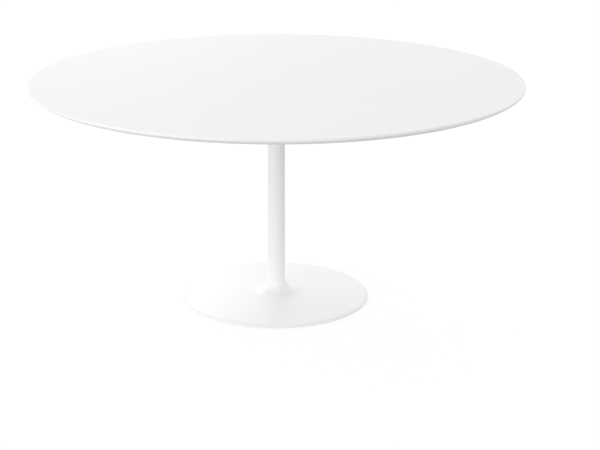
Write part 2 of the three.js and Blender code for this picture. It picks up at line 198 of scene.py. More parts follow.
@dataclass(frozen=True)
class TurnedFinish(Finish):
    """A finish on a piece from the lathe: its relief is a set of rings about the Z axis.

    Attributes:
        phase: Radians of ring that the texture draws for each of its own units. The rings stand
            2 pi times relief_mm apart.
    """

    phase: float = 20.0

    def relief(self, tree: bpy.types.NodeTree, place: bpy.types.NodeSocket) -> bpy.types.NodeSocket:
        """Draws tool rings about the table's axis. Returns the socket with their height."""
        rings = add_node(tree, "ShaderNodeTexWave",
                         {"Vector": place, "Scale": 1 / (self.relief_mm * MM) / self.phase,
                          "Distortion": 0.4, "Detail": 2.0, "Detail Scale": 3.0},
                         wave_type="RINGS", rings_direction="Z")
        return rings.outputs["Fac"]


@dataclass(frozen=True)
class CastFinish(Finish):
    """A sand-cast finish: rounded grains with pits between them.

    Attributes:
        swell: How many grains wide the slow swell is.
    """

    swell: float = 6.0

    def relief(self, tree: bpy.types.NodeTree, place: bpy.types.NodeSocket) -> bpy.types.NodeSocket:
        """Draws sand grains on a slow swell. Returns the socket with their height."""
        grains = add_node(tree, "ShaderNodeTexVoronoi",
                          {"Vector": place, "Scale": 1 / (self.relief_mm * MM)},
                          feature="SMOOTH_F1")
        swell = add_node(tree, "ShaderNodeTexNoise",
                         {"Vector": place, "Scale": 1 / (self.relief_mm * MM * self.swell),
                          "Detail": 4.0})
        both = add_node(tree, "ShaderNodeMath",
                        {0: grains.outputs["Distance"], 1: swell.outputs["Fac"]},
                        operation="MULTIPLY")
        return both.outputs["Value"]


# Polyurethane lacquer sprayed on fibreboard and rubbed matt: an even soft white with hardly any
# highlight. Its spray ripple is about 1 mm wide and is drawn at 3 mm so that it shows close up.
MATT_LACQUER = Finish("matt_lacquer_on_fibreboard", "#F2F2F1", "#F0F0EF", (0.66, 0.72), 260,
                      3.0, 0.006, sockets=(("Specular IOR Level", 0.25),))

# Polyester powder stoved on steel: white with a satin sheen over a faint orange peel, which is
# about 1.5 mm wide and is drawn at 2.5 mm so that it shows close up.
POWDER_COAT = Finish("powder_coat_on_steel", "#F7F7F6", "#F5F5F4", (0.37, 0.43), 120, 2.5, 0.010,
                     sockets=(("Coat Weight", 0.12), ("Coat Roughness", 0.25)))

# The same powder on the frame under the top, where it is thinner and a little greyer. Its orange
# peel is drawn at 2 mm, a little coarser than it is, so that it shows.
FRAME_COAT = Finish("thin_powder_coat_on_tube", "#EFEFEE", "#EBEBEA", (0.36, 0.44), 60, 2.0, 0.016)

# Sand-cast grey iron dipped in black primer: a dull pitted skin. Foundry sand has grains of about
# 0.3 mm, drawn at 2.2 mm and higher than they are, so that the skin shows from a step away.
PRIMED_IRON = CastFinish("primed_sand_cast_iron", "#3E3F42", "#2C2D30", (0.60, 0.82), 40, 2.2, 0.8,
                         ior=1.45)

# Rolled steel with bright zinc plating: bluish white metal with a slightly cloudy gloss.
ZINC_PLATE = Finish("bright_zinc_plate", "#C9CDD3", "#B4B8BE", (0.24, 0.36), 9, 0.8, 0.004, 1.0)

# Steel turned on a lathe and zinc plated: tool rings 0.4 mm apart, drawn about 6 mm apart so that
# they show.
TURNED_ZINC = TurnedFinish("zinc_on_turned_steel", "#C4C8CE", "#B0B4BA", (0.26, 0.40), 14, 1.0,
                           0.05, 1.0)

# Free-cutting brass straight from the lathe. Its tool marks are about 0.1 mm wide and are drawn at
# 0.5 mm so that they show.
BRASS = Finish("machined_brass", "#D2B06A", "#BE9A52", (0.25, 0.36), 6, 0.5, 0.006, 1.0)

# White ABS moulded in a spark-eroded tool, which leaves a fine even grain of about 0.1 mm. It is
# drawn at 0.7 mm so that it shows.
MOULDED_ABS = Finish("moulded_abs_caps", "#ECECEA", "#E6E6E4", (0.42, 0.52), 20, 0.7, 0.02,
                     ior=1.53)

# Grey nylon, waxy and a little translucent, with a smooth moulded skin. Its ripple is drawn at
# 0.9 mm, coarser than it is, so that it shows.
NYLON = Finish("moulded_nylon", "#9A9C9E", "#8C8E90", (0.38, 0.48), 12, 0.9, 0.01, ior=1.53,
               sockets=(("Subsurface Weight", 0.08), ("Subsurface Scale", 0.002)))


@lru_cache(maxsize=None)
def material_of(finish: Finish) -> bpy.types.Material:
    """Returns the one material of a finish, made the first time it is asked for."""
    return finish.material()


# ---- Modelling ----------------------------------------------------------------------------------


@dataclass(frozen=True)
class Corner:
    """A corner of a section, at a radius and a height, rounded if it has a fillet."""

    r: float
    z: float
    fillet: float = 0.0
    steps: int = 5


def rounded(corners: Sequence[Corner], closed: bool) -> list[Point]:
    """Works out the points of a section with its fillets as arcs.

    A short straight stretch is kept on each side of a fillet, so that the flat faces beside it stay
    flat when they are shaded smooth.

    Args:
        corners: The section's corners in order.
        closed: True for a ring section, whose last corner joins the first.

    Returns:
        Radius and height of each point.
    """
    points: list[Point] = []
    count = len(corners)
    for i, corner in enumerate(corners):
        here = Vector((corner.r, corner.z))
        at_end = not closed and i in (0, count - 1)
        if corner.fillet == 0 or at_end:
            points.append((here.x, here.y))
            continue
        before = corners[i - 1]
        after = corners[(i + 1) % count]
        back = (Vector((before.r, before.z)) - here).normalized()
        ahead = (Vector((after.r, after.z)) - here).normalized()
        half = back.angle(ahead) / 2
        reach = corner.fillet / math.tan(half)
        centre = here + (back + ahead).normalized() * corner.fillet / math.sin(half)
        start = here + back * reach
        turn = (start - centre).angle_signed(here + ahead * reach - centre)
        points.append(tuple(start + back * HOLD))
        for step in range(corner.steps + 1):
            angle = -turn * step / corner.steps
            spoke = start - centre
            points.append((
                centre.x + spoke.x * math.cos(angle) - spoke.y * math.sin(angle),
                centre.y + spoke.x * math.sin(angle) + spoke.y * math.cos(angle),
            ))
        points.append(tuple(here + ahead * (reach + HOLD)))
    return points


def thread(major: float, pitch: float, bottom: float, top: float) -> list[Corner]:
    """Draws a run of thread, as grooves side by side, from the bottom up.

    Args:
        major: Outer radius.
        pitch: Distance from crest to crest.
        bottom: Height where the thread starts.
        top: Height where it ends.

    Returns:
        The corners of the run.
    """
    depth = THREAD_DEPTH * pitch
    grooves = int((top - bottom) / pitch)
    corners = [Corner(major, bottom)]
    for i in range(grooves):
        low = bottom + i * pitch
        corners.append(Corner(major - depth, low + THREAD_ROOT * pitch))
        corners.append(Corner(major, low + THREAD_CREST * pitch))
        corners.append(Corner(major, low + pitch))
    return corners


def only(obj: bpy.types.Object) -> None:
    """Makes an object the only selected one and the active one."""
    if bpy.context.object is not None and bpy.context.object.mode != "OBJECT":
        bpy.ops.object.mode_set(mode="OBJECT")
    bpy.ops.object.select_all(action="DESELECT")
    obj.select_set(True)
    bpy.context.view_layer.objects.active = obj


def start_vertex(name: str, point: Point) -> bpy.types.Object:
    """Adds a mesh that is one selected vertex, in edit mode.

    Args:
        name: The object's name.
        point: Radius and height of the vertex, on the X side of the axis.

    Returns:
        The object.
    """
    bpy.ops.object.select_all(action="DESELECT")
    bpy.ops.mesh.primitive_plane_add(size=MM, location=(0, 0, 0))
    obj = bpy.context.object
    obj.name = name
    obj.data.name = name
    bpy.ops.object.mode_set(mode="EDIT")
    bpy.ops.mesh.select_mode(type="VERT")
    bpy.ops.mesh.select_all(action="SELECT")
    bpy.ops.mesh.merge(type="CENTER")
    bpy.ops.transform.translate(value=(point[0], 0, point[1]))
    return obj


def signed_volume(mesh: bpy.types.Mesh) -> float:
    """Works out the volume of a closed mesh, which is negative if its faces point inwards."""
    mesh.calc_loop_triangles()
    corners = [vertex.co for vertex in mesh.vertices]
    tips = ((corners[i] for i in face.vertices) for face in mesh.loop_triangles)
    return sum(a.dot(b.cross(c)) for a, b, c in tips) / 6


def face_outwards(obj: bpy.types.Object) -> None:
    """Merges what lies together, takes out slivers and turns every face of a piece outwards."""
    only(obj)
    bpy.ops.object.mode_set(mode="EDIT")
    bpy.ops.mesh.select_mode(type="VERT")
    bpy.ops.mesh.select_all(action="SELECT")
    bpy.ops.mesh.remove_doubles(threshold=MERGE_DISTANCE)
    bpy.ops.mesh.dissolve_degenerate(threshold=MERGE_DISTANCE / 2)
    bpy.ops.mesh.select_all(action="SELECT")
    bpy.ops.mesh.normals_make_consistent(inside=False)
    bpy.ops.object.mode_set(mode="OBJECT")
    if signed_volume(obj.data) < 0:
        bpy.ops.object.mode_set(mode="EDIT")
        bpy.ops.mesh.flip_normals()
        bpy.ops.object.mode_set(mode="OBJECT")


def spin_section(name: str, points: Sequence[Point], steps: int, closed: bool,
                 angle: float = FULL_TURN) -> bpy.types.Object:
    """Makes a turned piece: extrudes a section from a vertex and spins it about the Z axis.

    Args:
        name: The piece's name.
        points: The section, as radius and height. An open one starts and ends on the axis.
        steps: Facets round the whole turn.
        closed: True if the section joins its own start.
        angle: How far round it goes.

    Returns:
        The object, in object mode.
    """
    obj = start_vertex(name, points[0])
    path = [*points, points[0]] if closed else list(points)
    for here, ahead in zip(path, path[1:]):
        step = (ahead[0] - here[0], 0, ahead[1] - here[1])
        bpy.ops.mesh.extrude_region_move(TRANSFORM_OT_translate={"value": step})
    bpy.ops.mesh.select_all(action="SELECT")
    bpy.ops.mesh.remove_doubles(threshold=MERGE_DISTANCE)
    bpy.ops.mesh.spin(steps=steps, angle=angle, center=(0, 0, 0), axis=(0, 0, 1))
    bpy.ops.mesh.select_all(action="SELECT")
    bpy.ops.mesh.remove_doubles(threshold=MERGE_DISTANCE)
    if angle < FULL_TURN:
        bpy.ops.mesh.select_all(action="DESELECT")
        bpy.ops.mesh.select_non_manifold()
        bpy.ops.mesh.fill_holes(sides=0)
    face_outwards(obj)
    return obj


def turned(name: str, corners: Sequence[Corner], steps: int = BARREL_FACETS, closed: bool = True,
           angle: float = FULL_TURN) -> bpy.types.Object:
    """Makes a turned piece from the corners of its section. Returns the object."""
    return spin_section(name, rounded(corners, closed), steps, closed, angle)


def prism(name: str, radius: float, bottom: float, top: float, sides: int,
          centre: Point = (0.0, 0.0)) -> bpy.types.Object:
    """Adds an upright prism or cylinder, to cut or to shape another piece with.

    Args:
        name: The object's name.
        radius: Radius of its corners.
        bottom: Its lowest height.
        top: Its highest height.
        sides: Number of sides.
        centre: Where it stands.

    Returns:
        The object, its place applied to its mesh.
    """
    bpy.ops.object.select_all(action="DESELECT")
    bpy.ops.mesh.primitive_cylinder_add(vertices=sides, radius=radius, depth=top - bottom,
                                        location=(*centre, (bottom + top) / 2))
    obj = bpy.context.object
    obj.name = name
    bpy.ops.object.transform_apply(location=True, rotation=True, scale=True)
    return obj


def block(name: str, low: Sequence[float], high: Sequence[float]) -> bpy.types.Object:
    """Adds a cube stretched between two corners. Returns the object, its place applied."""
    bpy.ops.object.select_all(action="DESELECT")
    middle = [(a + b) / 2 for a, b in zip(low, high)]
    bpy.ops.mesh.primitive_cube_add(size=1, location=middle)
    obj = bpy.context.object
    obj.name = name
    obj.data.name = name
    obj.scale = [b - a for a, b in zip(low, high)]
    bpy.ops.object.transform_apply(location=True, rotation=True, scale=True)
    return obj


class Cut(Enum):
    """What a shaping piece does to the piece that it shapes."""

    AWAY = "DIFFERENCE"
    COMMON = "INTERSECT"
    ONTO = "UNION"


def shape_with(obj: bpy.types.Object, tools: Iterable[bpy.types.Object],
               cut: Cut = Cut.AWAY) -> None:
    """Cuts, trims or joins a piece with others, which are used up.

    Args:
        obj: The piece that is shaped.
        tools: The pieces that shape it.
        cut: What they do.
    """
    for tool in tools:
        only(obj)
        modifier = obj.modifiers.new("shape", "BOOLEAN")
        modifier.operation = cut.value
        modifier.solver = "EXACT"
        modifier.object = tool
        bpy.ops.object.modifier_apply(modifier=modifier.name)
        bpy.data.objects.remove(tool, do_unlink=True)
    face_outwards(obj)


def clear_picks(mesh: bpy.types.Mesh) -> None:
    """Marks every face, edge and vertex of a mesh as not selected."""
    for part in (*mesh.polygons, *mesh.edges, *mesh.vertices):
        part.select = False


def pick_edges(obj: bpy.types.Object, test: PairTest) -> None:
    """Selects the edges whose two ends pass a test, and leaves the object in edit mode.

    Args:
        obj: The object to select on.
        test: Takes the two end points and says whether the edge is wanted.
    """
    only(obj)
    mesh = obj.data
    clear_picks(mesh)
    for edge in mesh.edges:
        a, b = (mesh.vertices[i].co for i in edge.vertices)
        edge.select = bool(test(a, b))
    bpy.context.tool_settings.mesh_select_mode = (False, True, False)
    bpy.ops.object.mode_set(mode="EDIT")


def pick_faces(obj: bpy.types.Object, test: PairTest) -> None:
    """Selects the faces that pass a test, and leaves the object in edit mode.

    Args:
        obj: The object to select on.
        test: Takes a face's centre and normal and says whether it is wanted.
    """
    only(obj)
    mesh = obj.data
    clear_picks(mesh)
    for face in mesh.polygons:
        face.select = bool(test(face.center, face.normal))
    bpy.context.tool_settings.mesh_select_mode = (False, False, True)
    bpy.ops.object.mode_set(mode="EDIT")


def copy_of(obj: bpy.types.Object, name: str, turn: float = 0.0,
            shift: Sequence[float] = (0.0, 0.0, 0.0)) -> bpy.types.Object:
    """Copies a piece with a mesh of its own, and applies the copy's new place.

    Args:
        obj: The piece to copy.
        name: The copy's name.
        turn: Angle about the table's axis.
        shift: How far it moves, before it is turned.

    Returns:
        The copy.
    """
    only(obj)
    bpy.ops.object.duplicate(linked=False)
    copy = bpy.context.object
    copy.name = name
    copy.data.name = name
    copy.location = Vector(shift)
    bpy.ops.object.transform_apply(location=True, rotation=False, scale=False)
    copy.rotation_euler = (0, 0, turn)
    bpy.ops.object.transform_apply(location=False, rotation=True, scale=False)
    return copy


def dress(obj: bpy.types.Object, finish: Finish, nodes: Sequence[str],
          body: str = BODY) -> None:
    """Finishes a piece: shades it, gives it its material and ties it to the frame.

    Args:
        obj: The piece.
        finish: Its finish.
        nodes: The frame's nodes that it stands for.
        body: The body that it moves with.
    """
    only(obj)
    bpy.ops.object.shade_smooth_by_angle(angle=SMOOTH_ANGLE)
    obj.data.materials.clear()
    obj.data.materials.append(material_of(finish))
    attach(obj, body)
    if nodes:
        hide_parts(*nodes)
    log.info("%s: %d faces, on %s", obj.name, len(obj.data.polygons), body)


def centre_of(node: str) -> Vector:
    """Returns the middle of a frame node's box."""
    low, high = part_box(node)
    return (Vector(low) + Vector(high)) / 2


def quarter_angle(index: int) -> float:
    """Returns the angle of the numbered one of four pieces that stand between the axes."""
    return (index - 0.5) * FULL_TURN / QUARTERS


# ---- Tabletop -----------------------------------------------------------------------------------


@dataclass
class Tabletop:
    """The round fibreboard top: flat above and below, its edge curved in under a short lip."""

    arris: float = 2 * MM
    lip: float = 5 * MM
    edge_inset: float = 31 * MM
    edge_lead: float = 8 * MM
    edge_drop: float = 7 * MM
    edge_steps: int = 22
    steps: int = 320
    hole_radius: float = 5.4 * MM
    hole_depth: float = 14 * MM

    def undercut(self, radius: float, bottom: float, top: float) -> list[Point]:
        """Works out the curve from the flat underside to the lip.

        Args:
            radius: The top's radius.
            bottom: Height of the underside.
            top: Height of the upper face.

        Returns:
            Points of a cubic curve, from the underside up.
        """
        flat = radius - self.edge_inset
        lip_bottom = top - self.lip
        handles = (Vector((flat, bottom)), Vector((flat + self.edge_lead, bottom)),
                   Vector((radius, lip_bottom - self.edge_drop)), Vector((radius, lip_bottom)))
        points = []
        for i in range(self.edge_steps + 1):
            t = i / self.edge_steps
            weights = ((1 - t) ** 3, 3 * t * (1 - t) ** 2, 3 * t ** 2 * (1 - t), t ** 3)
            point = sum((h * w for h, w in zip(handles, weights)), Vector((0, 0)))
            points.append((point.x, point.y))
        return points

    def build(self) -> None:
        """Models the top with its blind holes and dresses it."""
        low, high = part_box("tabletop")
        radius, bottom, top = high[0], low[2], high[2]
        edge = self.undercut(radius, bottom, top)
        upper = rounded([Corner(*edge[-1]), Corner(radius, top, self.arris, 6), Corner(0, top)],
                        False)
        points = [(0.0, bottom), (edge[0][0] - HOLD, bottom), *edge, *upper[1:]]
        board = spin_section("top_board", points, self.steps, False)
        holes = []
        for number in TOP_SCREWS:
            spot = centre_of(f"insert_{number}")
            holes.append(prism("insert_hole", self.hole_radius, bottom - self.hole_depth,
                               bottom + self.hole_depth, DRILL_FACETS, (spot.x, spot.y)))
        shape_with(board, holes)
        dress(board, MATT_LACQUER, ["tabletop"])


# ---- Spider under the top -----------------------------------------------------------------------


@dataclass
class Spider:
    """The steel frame under the top: four tubes with end caps, welded on a round plate."""

    wall: float = 2 * MM
    outer_fillet: float = 3 * MM
    hole_radius: float = 3.4 * MM
    cap_fillet: float = 1.2 * MM
    cap_plug: float = 12 * MM
    cap_flange: float = 2.5 * MM
    cap_taper: Point = (0.96, 0.94)
    plate_edge: float = 1 * MM
    plate_bore: float = 6.6 * MM
    bore_edge: float = 0.4 * MM
    plate_facets: int = 128
    weld_leg: float = 3.2 * MM
    weld_pitch: float = 1.6 * MM
    weld_dip: float = 0.84
    weld_facets: int = 12
    width: float = 40 * MM
    start: float = 26 * MM
    end: float = 430 * MM
    screw_radii: tuple[float, float] = (170 * MM, 400 * MM)
    gap: float = 0.3 * MM
    fillet_steps: int = 6

    def __post_init__(self) -> None:
        """Takes the heights from the frame."""
        self.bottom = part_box("arm_1")[0][2]
        self.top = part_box("arm_1")[1][2]

    def arm(self) -> bpy.types.Object:
        """Models one arm along +X: a rounded tube, open at both ends, drilled for its screws."""
        half = self.width / 2
        tube = block("spider_arm", (self.start, -half, self.bottom), (self.end, half, self.top))
        pick_edges(tube, lambda a, b: abs(a.x - b.x) > half)
        bpy.ops.mesh.bevel(offset=self.outer_fillet, segments=self.fillet_steps, affect="EDGES")
        bpy.ops.object.mode_set(mode="OBJECT")
        pick_faces(tube, lambda c, n: abs(n.x) > FACING)
        bpy.ops.mesh.inset(thickness=self.wall)
        bpy.ops.mesh.bridge_edge_loops()
        face_outwards(tube)
        drills = [prism("drill", self.hole_radius, self.bottom - self.wall, self.top + self.wall,
                        DRILL_FACETS, (x, 0)) for x in self.screw_radii]
        shape_with(tube, drills)
        return tube

    def cap(self) -> bpy.types.Object:
        """Models one end cap: a pillowed flange with a hollow tapered plug behind it."""
        half = self.width / 2
        face = self.end + self.gap
        low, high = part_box("arm_cap_1")
        cap = block("spider_cap", (face, -half, low[2]), (face + self.cap_flange, half, high[2]))
        pick_edges(cap, lambda a, b: abs(a.x - b.x) > MM)
        bpy.ops.mesh.bevel(offset=self.outer_fillet, segments=self.fillet_steps, affect="EDGES")
        bpy.ops.object.mode_set(mode="OBJECT")
        pick_faces(cap, lambda c, n: n.x > FACING)
        bpy.ops.mesh.bevel(offset=self.cap_fillet, segments=4, affect="EDGES")
        bpy.ops.object.mode_set(mode="OBJECT")
        pick_faces(cap, lambda c, n: n.x < -FACING)
        bpy.ops.mesh.inset(thickness=self.wall + self.gap)
        bpy.ops.mesh.extrude_region_move(TRANSFORM_OT_translate={"value": (-self.cap_plug, 0, 0)})
        bpy.ops.transform.resize(value=(1, *self.cap_taper))
        bpy.ops.mesh.inset(thickness=self.wall)
        hollow = (self.cap_plug - self.wall, 0, 0)
        bpy.ops.mesh.extrude_region_move(TRANSFORM_OT_translate={"value": hollow})
        bpy.ops.object.mode_set(mode="OBJECT")
        return cap

    def weld(self) -> bpy.types.Object:
        """Models one weld bead, with its ripples, between an arm's side and the plate."""
        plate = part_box("top_plate")[1][0]
        length = plate - self.start - self.weld_leg
        rings = int(length / self.weld_pitch) * 2
        bead = prism("weld_bead", self.weld_leg, -length / 2, length / 2, self.weld_facets)
        pick_edges(bead, lambda a, b: abs(a.z - b.z) > length / 2)
        bpy.ops.mesh.subdivide(number_cuts=rings)
        bpy.ops.object.mode_set(mode="OBJECT")
        spacing = length / (rings + 1)
        pick_edges(bead, lambda a, b: abs(a.z - b.z) < spacing / 2
                   and round((a.z + length / 2) / spacing) % 2 == 1)
        bpy.ops.transform.resize(value=(self.weld_dip, self.weld_dip, 1))
        bpy.ops.object.mode_set(mode="OBJECT")
        only(bead)
        bead.rotation_euler = (0, math.radians(90), 0)
        bpy.ops.object.transform_apply(rotation=True)
        bead.location = (self.start + length / 2, self.width / 2, self.bottom)
        bpy.ops.object.transform_apply(location=True)
        return bead

    def build(self) -> None:
        """Models the spider and dresses it."""
        arm, cap, bead = self.arm(), self.cap(), self.weld()
        mirrored = copy_of(bead, "weld_bead_far", shift=(0, -self.width, 0))
        for i in range(1, QUARTERS + 1):
            turn = quarter_angle(i)
            dress(copy_of(arm, f"spider_arm_{i}", turn), FRAME_COAT, [f"arm_{i}"])
            dress(copy_of(cap, f"spider_cap_{i}", turn), MOULDED_ABS, [f"arm_cap_{i}"])
            for side, weld in enumerate((bead, mirrored), start=1):
                dress(copy_of(weld, f"weld_bead_{i}_{side}", turn), FRAME_COAT, [])
        for used in (arm, cap, bead, mirrored):
            bpy.data.objects.remove(used, do_unlink=True)
        low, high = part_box("top_plate")
        plate = turned("spider_plate", [
            Corner(self.plate_bore, low[2], self.bore_edge),
            Corner(high[0], low[2], self.plate_edge), Corner(high[0], high[2], self.plate_edge),
            Corner(self.plate_bore, high[2], self.bore_edge),
        ], self.plate_facets)
        dress(plate, FRAME_COAT, ["top_plate"])


@dataclass
class TopScrews:
    """The button-head screws that hold the spider to the top."""

    head: float = 5.25 * MM
    shank: float = 2.9 * MM
    pitch: float = 1 * MM
    threaded: float = 18 * MM
    socket: float = 2.31 * MM
    socket_depth: float = 2 * MM

    def build(self) -> None:
        """Models one screw with its dome, socket and thread, and puts a copy in each place."""
        low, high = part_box("screw_1")
        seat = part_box("arm_1")[0][2]
        tip = high[2]
        start = tip - self.threaded
        corners = [
            Corner(0, low[2]), Corner(3.0 * MM, low[2], 1.2 * MM),
            Corner(self.head, seat - 0.9 * MM, 1.6 * MM), Corner(self.head, seat, 0.2 * MM, 2),
            Corner(self.shank, seat), Corner(self.shank, start - self.pitch),
            *thread(self.shank, self.pitch, start, tip - self.pitch),
            Corner(self.shank - 0.8 * MM, tip), Corner(0, tip),
        ]
        screw = turned("top_screw", corners, 32, False)
        shape_with(screw, [prism("socket", self.socket, low[2] - MM, low[2] + self.socket_depth,
                                 HEXAGON)])
        for number in TOP_SCREWS:
            spot = centre_of(f"screw_{number}")
            piece = copy_of(screw, f"top_screw_{number}", shift=(spot.x, spot.y, 0))
            dress(piece, ZINC_PLATE, [f"screw_{number}"])
        bpy.data.objects.remove(screw, do_unlink=True)


# ---- Column and tie rod -------------------------------------------------------------------------


@dataclass
class Column:
    """The tapered tube that carries the top, and the collar that flares round its foot."""

    top_radius: float = 27.8 * MM
    wall: float = 2.5 * MM
    rim: float = 1.2 * MM
    rim_flat: float = 1.7 * MM
    fillet: float = 45 * MM
    collar_wall: float = 2 * MM
    lip_rise: float = 13 * MM
    lip_edge: float = 0.15 * MM
    lip_gap: float = 0.08 * MM
    gap: float = 0.3 * MM
    tube_edge: float = 0.3 * MM
    tube_facets: int = 160
    collar_facets: int = 192

    def tube(self) -> None:
        """Models the column tube."""
        low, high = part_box("column_tube")
        foot = high[0]
        tube = turned("column_post", [
            Corner(foot - self.wall, low[2]), Corner(foot, low[2], self.tube_edge, 2),
            Corner(self.top_radius, high[2], self.tube_edge, 2),
            Corner(self.top_radius - self.wall, high[2]),
        ], self.tube_facets)
        dress(tube, POWDER_COAT, ["column_tube"])

    def collar(self) -> None:
        """Models the collar: one wide fillet between a thin rim and the column."""
        low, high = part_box("foot_collar")
        radius, seat = high[0], low[2]
        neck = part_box("column_tube")[1][0] + self.gap
        centre_r = radius - self.rim_flat
        centre_z = seat + self.rim + self.fillet
        inner = self.fillet + self.collar_wall
        outside = self.arc(centre_r, centre_z, self.fillet, 270, 180, 36)
        neck_angle = 180 + math.degrees(math.acos((centre_r - neck) / inner))
        foot_angle = 180 + math.degrees(math.asin((centre_z - seat) / inner))
        inside = self.arc(centre_r, centre_z, inner, neck_angle, foot_angle, 20)
        lip = rounded([
            Corner(inside[-1][0], seat), Corner(radius, seat, 0.15 * MM, 2),
            Corner(radius, seat + self.rim, 0.6 * MM, 5), Corner(*outside[1]),
        ], False)
        feather_z = centre_z + self.lip_rise
        feather = self.radius_at(feather_z) + self.lip_gap
        points = [*lip[1:-1], *outside[1:], (feather + self.lip_edge, feather_z),
                  (feather, feather_z), (neck, centre_z), *inside]
        collar = spin_section("trumpet_collar", points, self.collar_facets, True)
        dress(collar, POWDER_COAT, ["foot_collar"])

    def radius_at(self, z: float) -> float:
        """Works out the column's outer radius at a height."""
        low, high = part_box("column_tube")
        share = (z - low[2]) / (high[2] - low[2])
        return high[0] + (self.top_radius - high[0]) * share

    @staticmethod
    def arc(r: float, z: float, radius: float, start: float, end: float, steps: int) -> list[Point]:
        """Works out the points of an arc about (r, z), from one angle in degrees to another."""
        angles = [math.radians(start + (end - start) * i / steps) for i in range(steps + 1)]
        return [(r + radius * math.cos(a), z + radius * math.sin(a)) for a in angles]

    def build(self) -> None:
        """Models the tube and the collar."""
        self.tube()
        self.collar()


@dataclass
class TieRod:
    """The rod through the column, with a nut and washers at each end."""

    radius: float = 5.9 * MM
    pitch: float = 1.75 * MM
    lower_thread: float = 42 * MM
    upper_thread: float = 32 * MM
    nut_corner: float = 10.97 * MM
    nut_flat: float = 9.5 * MM
    nut_chamfer: float = 1.1 * MM
    nut_bore: float = 6.2 * MM
    washer_bore: float = 6.5 * MM
    split_angle: float = math.radians(353)
    end_chamfer: float = 0.9 * MM
    face_inset: float = 0.2 * MM
    countersink: float = 1.6 * MM
    countersink_depth: float = 0.6 * MM
    washer_edge: float = 0.35 * MM
    bore_facets: int = 48

    def rod(self) -> None:
        """Models the rod, threaded at both ends."""
        low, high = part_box("tie_rod")
        bottom, top = low[2], high[2]
        corners = [
            Corner(0, bottom), Corner(self.radius - self.end_chamfer, bottom),
            *thread(self.radius, self.pitch, bottom + MM, bottom + self.lower_thread),
            *thread(self.radius, self.pitch, top - self.upper_thread, top - 2 * self.pitch),
            Corner(self.radius - self.end_chamfer, top), Corner(0, top),
        ]
        dress(turned("tie_bar", corners, 32, False), ZINC_PLATE, ["tie_rod"])

    def nut(self, node: str, name: str) -> None:
        """Models a hexagon nut with its corners chamfered at both ends.

        Args:
            node: The frame's node that it stands for.
            name: The piece's name.
        """
        low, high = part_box(node)
        bottom, top = low[2], high[2]
        nut = prism(name, self.nut_corner, bottom, top, HEXAGON)
        nut.data.name = name
        rise = self.nut_chamfer
        face, beyond = self.nut_flat - self.face_inset, self.nut_corner + MM
        barrel = turned("barrel", [
            Corner(0, bottom), Corner(face, bottom), Corner(beyond, bottom + rise),
            Corner(beyond, top - rise), Corner(face, top), Corner(0, top),
        ], closed=False)
        shape_with(nut, [barrel], Cut.COMMON)
        wide, depth = self.nut_bore + self.countersink, self.countersink_depth
        bore = turned("bore", [
            Corner(0, bottom - MM), Corner(wide, bottom - MM),
            Corner(self.nut_bore, bottom + depth), Corner(self.nut_bore, top - depth),
            Corner(wide, top + MM), Corner(0, top + MM),
        ], self.bore_facets, False)
        shape_with(nut, [bore])
        dress(nut, ZINC_PLATE, [node])

    def washer(self, node: str, name: str, angle: float = FULL_TURN) -> None:
        """Models a washer.

        Args:
            node: The frame's node that it stands for.
            name: The piece's name.
            angle: Less than a full turn for a split spring washer.
        """
        low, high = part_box(node)
        bottom, top = low[2], high[2]
        inner, outer = self.washer_bore, high[1]
        washer = turned(name, [Corner(r, z, self.washer_edge, 3) for r, z in (
            (inner, bottom), (outer, bottom), (outer, top), (inner, top))], angle=angle)
        dress(washer, ZINC_PLATE, [node])

    def build(self) -> None:
        """Models the rod and the hardware on it."""
        self.rod()
        self.nut("top_nut", "upper_nut")
        self.nut("base_nut", "lower_nut")
        self.washer("top_washer", "upper_washer")
        self.washer("base_washer", "lower_washer")
        self.washer("lock_washer", "spring_washer", self.split_angle)


# ---- Base ---------------------------------------------------------------------------------------


